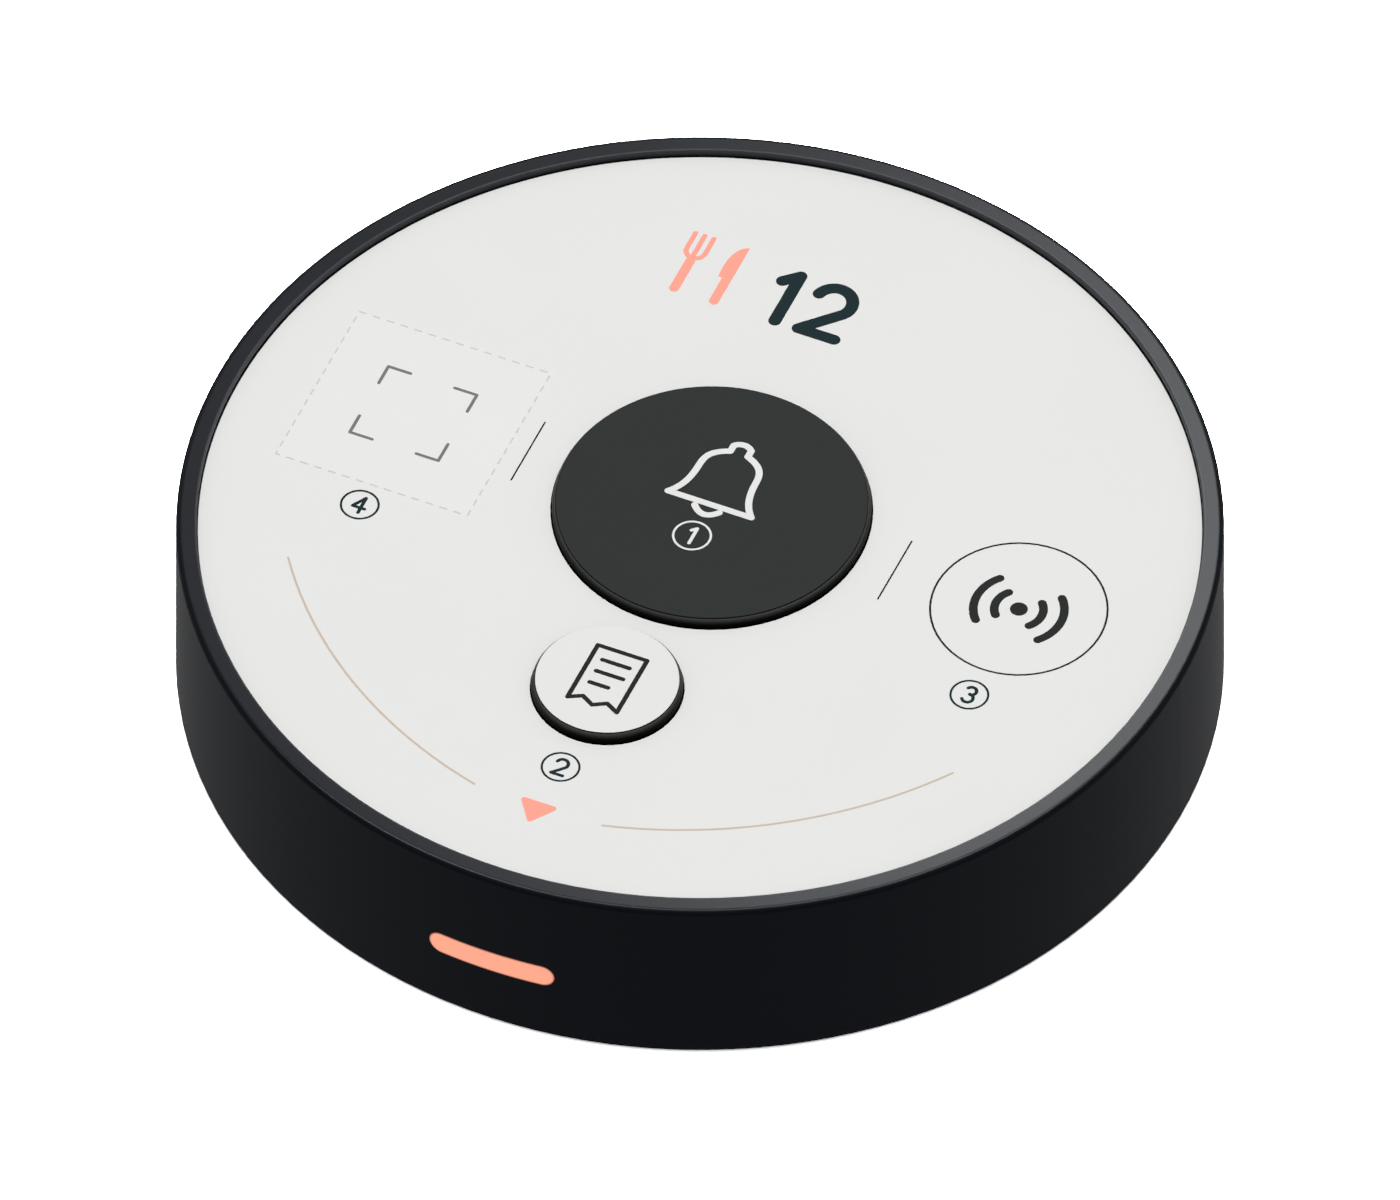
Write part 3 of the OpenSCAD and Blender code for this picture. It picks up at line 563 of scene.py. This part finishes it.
dress(lamps, "status_leds")
dress(tinned, "radio_module")

# %% [markdown]
# ## Metals
#
# A metal has no colour under its gloss: the gloss itself is tinted. So each one is fully metallic,
# keeps the shader's own index, and differs in tint, roughness and grain. Zinc plating is bluish and
# speckled with crystals, drawn spring wire has lines along its length, rolled spring brass has
# lines across the sheet, and the nickel on a coin cell is finely brushed.

# %% Screws, springs, contacts, track and cell
zinc = finish("steel, zinc plated", "C4C8CC", "AEB3B9", grain=0.35, depth=0.002, roughness=0.32,
              cloud=0.8, Metallic=1.0)
wire = finish("spring steel wire, drawn", "B7B7B5", "A3A3A1", grain=0.12, depth=0.002,
              roughness=0.30, stretch=(1, 1, 6), Metallic=1.0)
brass = finish("spring brass, rolled", "D9B36A", "C9A25A", grain=0.20, depth=0.002,
               roughness=0.30, stretch=(8, 1, 1), Metallic=1.0)
copper = finish("copper track, etched", "D98F66", "C77B52", grain=0.15, depth=0.001,
                roughness=0.38, Metallic=1.0)
nickel = finish("nickel plated steel, brushed", "CFCECB", "BEBDB9", grain=0.18, depth=0.002,
                roughness=0.28, stretch=(1, 10, 1), Metallic=1.0)
dress(zinc, "board_screws", "base_screws")
dress(wire, "call_spring", "bill_spring")
dress(brass, "positive_contact", "negative_contact")
dress(copper, "antenna_coil")
dress(nickel, "coin_cell")

# %% [markdown]
# ## Film and rubber
#
# The antenna is etched on an amber polyimide film. Both seals are grey silicone, a little shiny,
# and the feet are black rubber, the most matt material here: it scatters so much light that only
# its shape shows.

# %% Polyimide, silicone and rubber
amber = finish("polyimide film, amber", "B9781F", "A96A18", grain=0.50, depth=0.001,
               roughness=0.30)
silicone = finish("silicone, grey", "4A4B4D", "404143", grain=0.40, depth=0.003, roughness=0.48)
rubber = finish("rubber, black", "1B1B1C", "151516", grain=0.30, depth=0.010, roughness=0.82,
                Specular_IOR_Level=0.30)
dress(amber, "antenna_film")
dress(silicone, "base_seal", "battery_cap_seal")
dress(rubber, "feet")

# %% [markdown]
# A part that was forgotten would keep the plain look that it was loaded with, and inside the puck
# nobody would notice. So every part is asked for its material.

# %% Is every part dressed?
plain = []
for name, part in nodes.items():
    finishes = [slot.material for slot in part.material_slots]
    if not finishes or not all(m and "Bump" in m.node_tree.nodes for m in finishes):
        plain.append(name)
print("parts without a finish:", plain or "none")

# %% [markdown]
# ## Springs that ride on the case
#
# A button's return spring stands on the board and carries the button, so when the button goes down,
# the spring's foot stays and only its top comes along. A part that rides on the button would sink
# into the board. So a copy of each spring's mesh rides on the case instead and stands for the CAD
# spring, which is hidden.

for button in ("call", "bill"):
    node, joint = button + "_spring", button + "_press"
    coil = bpy.data.objects.new(button + "_return_spring", nodes[node].data.copy())
    bpy.context.scene.collection.objects.link(coil)
    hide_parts(node)
    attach(coil, "case")
    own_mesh(coil)

# %% [markdown]
# ## Print on the plate
#
# The signs are screen printed: a pattern of ink about 0.03 mm thick, with sharp edges. A picture
# on the surface would blur when the camera comes close, so each sign is a thin solid of its own.
# Almost every sign is drawn as strokes: a path in millimetres and a width. First come two kinds of
# path, a round one and a bent one.

# %% Paths
STEP = 6
BEND_POINTS = 12


def arc(x, y, radius, start, end, step=STEP):
    """Points on a circle, from one angle to another in degrees."""
    count = max(2, round(abs(end - start) / step))
    turns = [math.radians(start + (end - start) * i / count) for i in range(count + 1)]
    return [(x + radius * math.cos(t), y + radius * math.sin(t)) for t in turns]


def bend(a, b, c, d):
    """Points on a curve from a to d that b and c pull towards them."""
    parts = []
    for i in range(BEND_POINTS + 1):
        t = i / BEND_POINTS
        weights = ((1 - t) ** 3, 3 * t * (1 - t) ** 2, 3 * t * t * (1 - t), t ** 3)
        parts.append(tuple(sum(w * p[k] for w, p in zip(weights, (a, b, c, d))) for k in (0, 1)))
    return parts


print("a full circle has", len(arc(0, 0, 1, 0, 360)) - 1, "points")

# %% [markdown]
# A line is drawn beside the path, at half the pen's width on its left. Outer corners are rounded
# like a pen's, and inner ones are mitred. Where the path turns right back, the line goes round its
# end in a half circle.

# %% Beside the path
TOUCHING = 1e-6
TURNS_BACK = -0.9999


def left_side(path, away):
    """The line that keeps a distance from a closed path, on its left."""
    points = [Vector(p) for p in path]
    points = [p for i, p in enumerate(points) if (p - points[i - 1]).length > TOUCHING]
    line = []
    for i, point in enumerate(points):
        before = (point - points[i - 1]).normalized()
        after = (points[(i + 1) % len(points)] - point).normalized()
        turn = math.degrees(math.atan2(before.cross(after), before.dot(after)))
        if before.dot(after) < TURNS_BACK:
            turn = -180
        left, next_left = Vector((-before.y, before.x)), Vector((-after.y, after.x))
        if turn < -2 * STEP:
            first = math.degrees(math.atan2(left.y, left.x))
            line += [Vector(p) for p in arc(*point, away, first, first + turn)]
        else:
            line.append(point + (left + next_left) * away / (1 + left.dot(next_left)))
    return line


print("a line beside a square has", len(left_side([(0, 0), (0, 1), (1, 1), (1, 0)], 0.1)), "points")

# %% [markdown]
# So the outline of a stroke runs along its left side, turns round the end and comes back along the
# other side. The outer line of every stroke runs clockwise, and so do the points of a filled
# shape, so that the two add up where they cross.

# %% From a path to an outline
def stroke(path, width, closed=False):
    """The outline of a pen line, as one closed loop, or as two for a closed path."""
    if closed:
        return [left_side(path, width / 2), left_side(path[::-1], width / 2)]
    return [left_side(path + path[-2:0:-1], width / 2)]


def fill(path):
    """The outline of a filled shape, whose points run clockwise."""
    return [[Vector(p) for p in path]]


print("a stroke of two points has", len(stroke([(0, 0), (1, 0)], 0.2)[0]), "corners")

# %% [markdown]
# The loops are cut into triangles, also where strokes cross. A triangle is ink if the loops wind
# round its middle, so crossing strokes join into one flat shape, and a ring keeps its hole. A
# boolean would do this too, but it is slow and can fail on touching edges.

# %% From outlines to triangles
WELD = 1e-5


def winding(point, loops):
    """How often the loops run round a point."""
    total = 0
    for loop in loops:
        for i, b in enumerate(loop):
            a = loop[i - 1]
            if (a.y <= point.y) != (b.y <= point.y) and (
                    ((b - a).cross(point - a) > 0) == (b.y > a.y)):
                total += 1 if b.y > a.y else -1
    return total


def inked(loops):
    """The corners of the loops' triangles, and the triangles that are ink."""
    points, edges = [], []
    for loop in loops:
        first, count = len(points), len(loop)
        points += loop
        edges += [(first + i, first + (i + 1) % count) for i in range(count)]
    corners, _, triangles, *_ = delaunay_2d_cdt(points, edges, [], 0, WELD)
    return corners, [t for t in triangles
                     if winding(sum((corners[i] for i in t), Vector((0, 0))) / 3, loops)]


ring = stroke(arc(0, 0, 1, 0, 360 - STEP), 0.1, closed=True)
print("a ring winds", winding(Vector((0, 0)), ring), "times round its hole")

# %% [markdown]
# The flat shape is made solid by lowering a copy of it by the ink's thickness, half of it into
# the surface, so that no gap shows. The sign then rides on the body that it is printed on.

# %% Print a sign
INK = 0.03


def print_sign(name, loops, material, body, surface, middle=(0, 0)):
    """Prints loops, in millimetres round a middle, on a surface and ties them to a body."""
    corners, triangles = inked(loops)
    mesh = bmesh.new()
    high = surface + INK * MM / 2
    verts = [mesh.verts.new(((middle[0] + c.x) * MM, (middle[1] + c.y) * MM, high))
             for c in corners]
    for triangle in triangles:
        mesh.faces.new([verts[i] for i in triangle])
    for vert in [v for v in mesh.verts if not v.link_faces]:
        mesh.verts.remove(vert)
    low = bmesh.ops.extrude_face_region(mesh, geom=mesh.faces[:])["geom"]
    for vert in [v for v in low if isinstance(v, bmesh.types.BMVert)]:
        vert.co.z -= INK * MM
    bmesh.ops.recalc_face_normals(mesh, faces=mesh.faces[:])
    sign = show(name, mesh, material)
    print(name, "has", len(sign.data.polygons), "faces")
    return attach(sign, body)


# %% [markdown]
# Screen ink dries to a satin skin, with a faint orange peel. Each colour is one ink.

# %% The inks
INKS = {
    "white": ("E7E7E5", "E5E5E3"),
    "charcoal": ("262825", "242623"),
    "slate": ("282B2A", "262928"),
    "dark teal": ("1C2D30", "1A2B2E"),
    "coral": ("FFA895", "FEA692"),
    "beige": ("CDBEAF", "C9BAAB"),
    "light grey": ("CECECC", "CCCCCA"),
    "mid grey": ("7C7D7B", "787977"),
}
ink = {name: finish("screen ink, " + name, *tones, grain=0.4, depth=0.001, roughness=0.65,
                    Specular_IOR_Level=0.02) for name, tones in INKS.items()}
print("inks:", ", ".join(ink))

# %% [markdown]
# ## The bell
#
# The large button shows a table bell. Its right half is drawn as a flared side, a domed shoulder
# and a small knob, and the left half is the same mirrored, so it stays even. The clapper is an
# arc that peeps out under the brim. It rides on the button, so it goes down with it. The screen
# lay a hair to the left when it was printed.

# %% Draw the bell
def middle_of(node):
    """The middle of a part seen from above, in millimetres."""
    low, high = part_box(node)
    return [(low[k] + high[k]) / 2 / MM for k in (0, 1)]


CALL_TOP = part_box("call_cover_disc")[1].z
BELL_PEN, BELL_SHIFT = 0.67, -0.07

half_bell = (
    bend((4.33, -0.34), (3.4, 0.70), (2.97, 1.95), (2.95, 4.0))
    + bend((2.95, 4.0), (2.93, 5.3), (2.5, 6.05), (0.91, 6.68))
    + arc(0, 6.75, 1.16, 38.4, 88)
)
bell = half_bell + [(-x, y) for x, y in reversed(half_bell)]
clapper = bend((-1.28, -0.98), (-0.43, -2.01), (0.43, -2.01), (1.28, -0.98))
call_x, call_y = middle_of("call_cover_disc")
print_sign("bell_sign", stroke(bell, BELL_PEN, closed=True) + stroke(clapper, BELL_PEN),
           ink["white"], "call_button", CALL_TOP, (call_x + BELL_SHIFT, call_y))

# %% [markdown]
# ## The receipt
#
# The small button shows a torn-off till receipt with three lines on it. The tear is a zigzag of
# two notches.

# %% Draw the receipt
BILL_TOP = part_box("bill_cover_disc")[1].z
RECEIPT_PEN = 0.47

receipt = [(-2.56, 3.65), (2.56, 3.65), (2.56, -3.6), (1.27, -2.89), (0, -3.62),
           (-1.27, -2.89), (-2.56, -3.6)]
written = [[(-1.4, 2.08), (1.4, 2.08)],
           [(-1.4, 0.55), (1.4, 0.55)],
           [(-1.38, -1.02), (0.52, -1.02)]]
lines = stroke(receipt, RECEIPT_PEN, closed=True)
for line in written:
    lines += stroke(line, RECEIPT_PEN)
print_sign("receipt_sign", lines, ink["charcoal"], "bill_button", BILL_TOP,
           middle_of("bill_cover_disc"))

# %% [markdown]
# ## The tap zone
#
# A thin ring on the right shows where a phone is held. In it stands the common sign for a radio
# signal: a dot with two waves on each side. The antenna lies right under it. A dot is a very
# short stroke, because a pen's round ends make it round.

# %% Draw the tap zone
TAP_MIDDLE = (31.92, 2.87)
TAP_RING, TAP_PEN = 16.94, 0.20
DOT_LENGTH, DOT_PEN = 0.01, 1.7
WAVE_RADII, WAVE_REACH, WAVE_PEN = (2.35, 4.35), 42, 0.85

ring = arc(0, 0, TAP_RING / 2, 0, 360 - STEP / 2)
print_sign("tap_ring", stroke(ring, TAP_PEN, closed=True), ink["charcoal"], "case", PLATE_TOP,
           TAP_MIDDLE)
signal = stroke([(0, 0), (DOT_LENGTH, 0)], DOT_PEN)
for radius in WAVE_RADII:
    for facing in (0, 180):
        signal += stroke(arc(0, 0, radius, facing - WAVE_REACH, facing + WAVE_REACH), WAVE_PEN)
print_sign("tap_sign", signal, ink["slate"], "case", PLATE_TOP, TAP_MIDDLE)

# %% [markdown]
# ## Dividers and arcs
#
# Two hairlines part the middle from the fields beside it. Two long beige arcs run along the rim at
# the front and leave a gap for the front mark. They are flatter than the rim, so each has a middle
# of its own, a little past the puck's, and the right one is the left one mirrored.

# %% Draw the dividers and the arcs
DIVIDER_X, DIVIDER_Y, DIVIDER_PEN = 19.08, (-1.3, 6.75), 0.16
ARC_MIDDLE, ARC_RADIUS, ARC_ENDS = (5.8, 9.0), 49.1, (214.7, 255.3)
ARC_STEP, ARC_PEN = 2, 0.22

hairlines = []
for x in (-DIVIDER_X, DIVIDER_X):
    hairlines += stroke([(x, DIVIDER_Y[0]), (x, DIVIDER_Y[1])], DIVIDER_PEN)
print_sign("divider_lines", hairlines, ink["charcoal"], "case", PLATE_TOP)
sweep = arc(*ARC_MIDDLE, ARC_RADIUS, *ARC_ENDS, step=ARC_STEP)
mirrored = [(-x, y) for x, y in sweep]
print_sign("front_arcs", stroke(sweep, ARC_PEN) + stroke(mirrored, ARC_PEN), ink["beige"],
           "case", PLATE_TOP)

# %% [markdown]
# ## The code field
#
# The film on the left takes a printed code. A roller pressed its edge down, so that no step shows
# there, and a narrow sloping wedge of the same film makes that edge. It is three square rings of
# corners, joined into a closed solid. Its top starts a hair inside the film and its foot a hair
# inside the plate, so that no gap shows between them.

# %% Press down the film's edge
SLOPE, OVERLAP, SINK = 0.40 * MM, 0.02 * MM, 0.01 * MM

film_low, film_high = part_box("code_patch")
FILM_TOP = film_high.z
wedge = bmesh.new()
rings = []
for out, z in ((-OVERLAP, FILM_TOP), (SLOPE, PLATE_TOP), (-OVERLAP, PLATE_TOP - SINK)):
    left, right = film_low[0] - out, film_high[0] + out
    near, far = film_low[1] - out, film_high[1] + out
    rings.append([wedge.verts.new((x, y, z)) for x, y in (
        (left, near), (right, near), (right, far), (left, far))])
for k, ring in enumerate(rings):
    for i, vert in enumerate(ring):
        wedge.faces.new((rings[k - 1][i - 1], rings[k - 1][i], vert, ring[i - 1]))
bmesh.ops.recalc_face_normals(wedge, faces=wedge.faces[:])
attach(show("film_edge", wedge, film), "case")
print("film edge slopes down over", SLOPE / MM, "mm")

# %% [markdown]
# A dashed frame follows the film's edge. The dashes are spaced along one line that goes all the
# way round, so a dash that meets a corner bends round it, and none is cut short. The four corners
# of a viewfinder show what the field is for.

# %% Draw the code field
DASHES, DASH, DASH_PEN, DASH_INSET = 55, 0.67, 0.15, 0.04
FINDER, FINDER_ARM, FINDER_PEN = 4.6, 2.3, 0.32

half = (film_high.x - film_low.x) / MM / 2 - DASH_INSET
side = 2 * half


def along(way):
    """The point that far along the frame, clockwise from its far left corner."""
    number, rest = divmod(way, side)
    return ((rest - half, half), (half, half - rest), (half - rest, -half),
            (-half, rest - half))[int(number) % 4]


film_middle = middle_of("code_patch")
dashes = []
for k in range(DASHES):
    start = k * 4 * side / DASHES
    bends = [along(side * c) for c in (1, 2, 3) if start < side * c < start + DASH]
    dashes += stroke([along(start)] + bends + [along(start + DASH)], DASH_PEN)
print_sign("code_frame", dashes, ink["light grey"], "case", FILM_TOP, film_middle)
finder = []
for sx in (-1, 1):
    for sy in (-1, 1):
        near, far = FINDER - FINDER_ARM, FINDER
        finder += stroke([(sx * near, sy * far), (sx * far, sy * far), (sx * far, sy * near)],
                         FINDER_PEN)
print_sign("scan_sign", finder, ink["mid grey"], "case", FILM_TOP, film_middle)

# %% [markdown]
# ## Numbers
#
# Each field has a plain number in a ring, as on a dial. A font would bring shapes of its own, so
# the few digits needed are drawn as strokes in a box of height 1 and scaled to their size.

# %% Draw the numbers
DIGITS = {
    "1": [[(-0.16, 0.30), (0.06, 0.5), (0.06, -0.5)]],
    "2": [arc(0, 0.21, 0.29, 165, -38) + [(-0.29, -0.5), (0.31, -0.5)]],
    "3": [arc(0, 0.25, 0.25, 150, -80), arc(0, -0.23, 0.27, 90, -150)],
    "4": [[(0.12, -0.5), (0.12, 0.5), (-0.3, -0.18), (0.32, -0.18)]],
}
DIGIT_TALL, DIGIT_PEN = 2.0, 0.34
BADGE_RADIUS, BADGE_PEN = 1.8, 0.22
FIELDS = (
    ("1", (0, -1.9), ink["white"], "call_button", CALL_TOP),
    ("2", (0, -33.2), ink["dark teal"], "case", PLATE_TOP),
    ("3", (32.0, -9.1), ink["dark teal"], "case", PLATE_TOP),
    ("4", (-31.03, -10.0), ink["dark teal"], "case", PLATE_TOP),
)


def digit(text, tall, pen, x=0.0):
    """The loops of one digit."""
    loops = []
    for path in DIGITS[text]:
        loops += stroke([(x + tall * a, tall * b) for a, b in path], pen)
    return loops


badge = stroke(arc(0, 0, BADGE_RADIUS, 0, 360 - STEP), BADGE_PEN, closed=True)
for text, middle, colour, body, top in FIELDS:
    print_sign("number_" + text, badge + digit(text, DIGIT_TALL, DIGIT_PEN), colour, body, top,
               middle)

# %% [markdown]
# ## The table mark
#
# At the far side a coral knife and fork stand for the restaurant, next to the number of the table.
# The handles and tines are strokes. The blade is a filled shape, straight at its back and bowed at
# its edge.

# %% Draw the knife and fork
MARK_MIDDLE = (-12.6, 31.1)
FORK_X, KNIFE_X = -2.1, 2.03
HANDLE_END, HANDLE_PEN = -3.6, 0.95
FORK_NECK, KNIFE_NECK = 0.2, -0.2
TINE_TOP, TINE_FOOT, TINE_NECK = 3.7, 1.6, 0.4
TINE_GAP, TINE_PEN = 0.95, 0.5

left, right = FORK_X - TINE_GAP, FORK_X + TINE_GAP
outer_tines = ([(left, TINE_TOP), (left, TINE_FOOT)] + arc(FORK_X, TINE_FOOT, TINE_GAP, 180, 360)
               + [(right, TINE_FOOT), (right, TINE_TOP)])
blade = [(2.5, -0.55)] + bend((1.15, -0.55), (0.9, 1.6), (1.2, 3.6), (2.5, 3.95))
cutlery = stroke([(FORK_X, FORK_NECK), (FORK_X, HANDLE_END)], HANDLE_PEN)
cutlery += stroke(outer_tines, TINE_PEN)
cutlery += stroke([(FORK_X, TINE_TOP), (FORK_X, TINE_NECK)], TINE_PEN)
cutlery += fill(blade)
cutlery += stroke([(KNIFE_X, KNIFE_NECK), (KNIFE_X, HANDLE_END)], HANDLE_PEN)
print_sign("cutlery_sign", cutlery, ink["coral"], "case", PLATE_TOP, MARK_MIDDLE)

# %% [markdown]
# The table's number is drawn with the same digits as the fields, about three times as tall.

# %% Draw the table's number
NUMBER_MIDDLE = (-4.6, 30.6)
NUMBER_TALL, NUMBER_PEN, NUMBER_PITCH = 6.2, 1.25, 4.6

table_number = digit("1", NUMBER_TALL, NUMBER_PEN) + digit("2", NUMBER_TALL, NUMBER_PEN,
                                                           NUMBER_PITCH)
print_sign("table_number", table_number, ink["dark teal"], "case", PLATE_TOP, NUMBER_MIDDLE)

# %% [markdown]
# At the front a small coral triangle points to the light bar in the wall below it. A stroke round
# the filled shape rounds its corners.

# %% Draw the front mark
FRONT_MIDDLE, FRONT_PEN = (0, -39.4), 0.6

triangle = [(-1.5, 1.0), (1.5, 1.0), (0, -1.1)]
print_sign("front_mark", stroke(triangle, FRONT_PEN, closed=True) + fill(triangle),
           ink["coral"], "case", PLATE_TOP, FRONT_MIDDLE)
